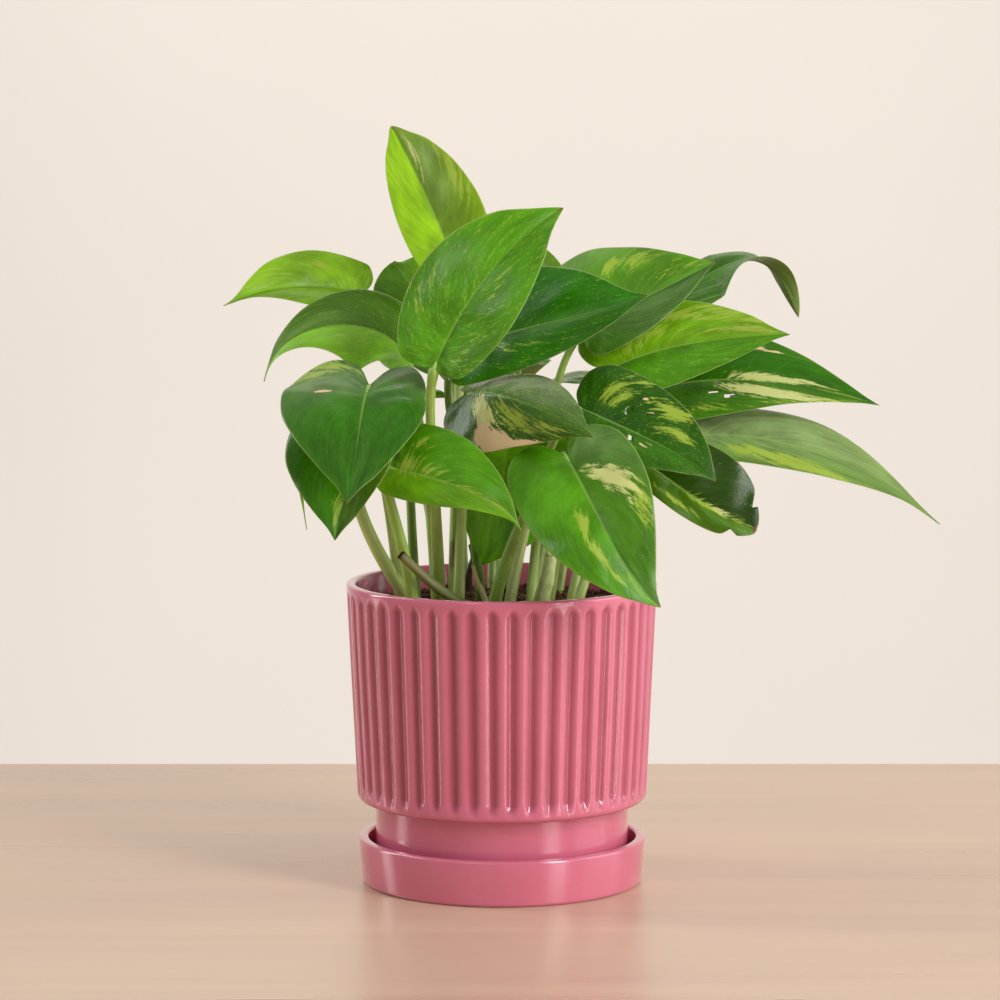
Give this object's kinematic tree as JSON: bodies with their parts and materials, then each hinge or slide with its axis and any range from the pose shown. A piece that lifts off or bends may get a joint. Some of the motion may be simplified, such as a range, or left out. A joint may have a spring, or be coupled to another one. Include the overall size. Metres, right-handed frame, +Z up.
{
  "type": "potted pothos plant",
  "caption": "Bushy pothos with heart-shaped green and yellow leaves on thin stalks, in a pink fluted ceramic pot that stands in a matching saucer.",
  "frame": {"origin": "centre of the saucer's flat underside, on the pot's axis", "axes": "+Z up along the pot's axis; -Y is the front, which the biggest leaves face; +X is the side with the long leaves"},
  "size_m": [0.2971, 0.2004, 0.3151],
  "materials": {
    "glaze": "pink glaze, satin gloss",
    "soil": "dark, coarse, damp potting mix",
    "leaf": "waxy green with yellow and cream patches",
    "stalk": "smooth pale green"
  },
  "bodies": {
    "root": {"saucer": "glaze", "pot": "glaze", "soil": "soil", "leaf_crown": "leaf", "leaf_big_centre": "leaf", "leaf_dark_centre": "leaf", "leaf_folded": "leaf", "leaf_curled_tip": "leaf", "leaf_right_upper": "leaf", "leaf_right_cream": "leaf", "leaf_right_long": "leaf", "leaf_holed": "leaf", "leaf_ragged": "leaf", "leaf_big_front": "leaf", "leaf_blotched": "leaf", "leaf_heart": "leaf", "leaf_under_heart": "leaf", "leaf_low_centre": "leaf", "leaf_hanging": "leaf", "leaf_left_top": "leaf", "leaf_left_arch": "leaf", "leaf_left_slim": "leaf", "leaf_back_left_small": "leaf", "leaf_back_right_small": "leaf", "leaf_back_right": "leaf", "leaf_back_left": "leaf", "leaf_back_middle": "leaf", "leaf_back_low": "leaf", "stalk_crown": "stalk", "stalk_big_centre": "stalk", "stalk_dark_centre": "stalk", "stalk_folded": "stalk", "stalk_curled_tip": "stalk", "stalk_right_upper": "stalk", "stalk_right_cream": "stalk", "stalk_right_long": "stalk", "stalk_holed": "stalk", "stalk_ragged": "stalk", "stalk_big_front": "stalk", "stalk_blotched": "stalk", "stalk_heart": "stalk", "stalk_under_heart": "stalk", "stalk_low_centre": "stalk", "stalk_hanging": "stalk", "stalk_left_top": "stalk", "stalk_left_arch": "stalk", "stalk_left_slim": "stalk", "stalk_back_left_small": "stalk", "stalk_back_right_small": "stalk", "stalk_back_right": "stalk", "stalk_back_left": "stalk", "stalk_back_middle": "stalk", "stalk_back_low": "stalk", "vine_cut_end": "stalk", "vine_node": "stalk", "sheath_dry": "stalk", "twig_dark": "stalk"}
  },
  "joints": []
}
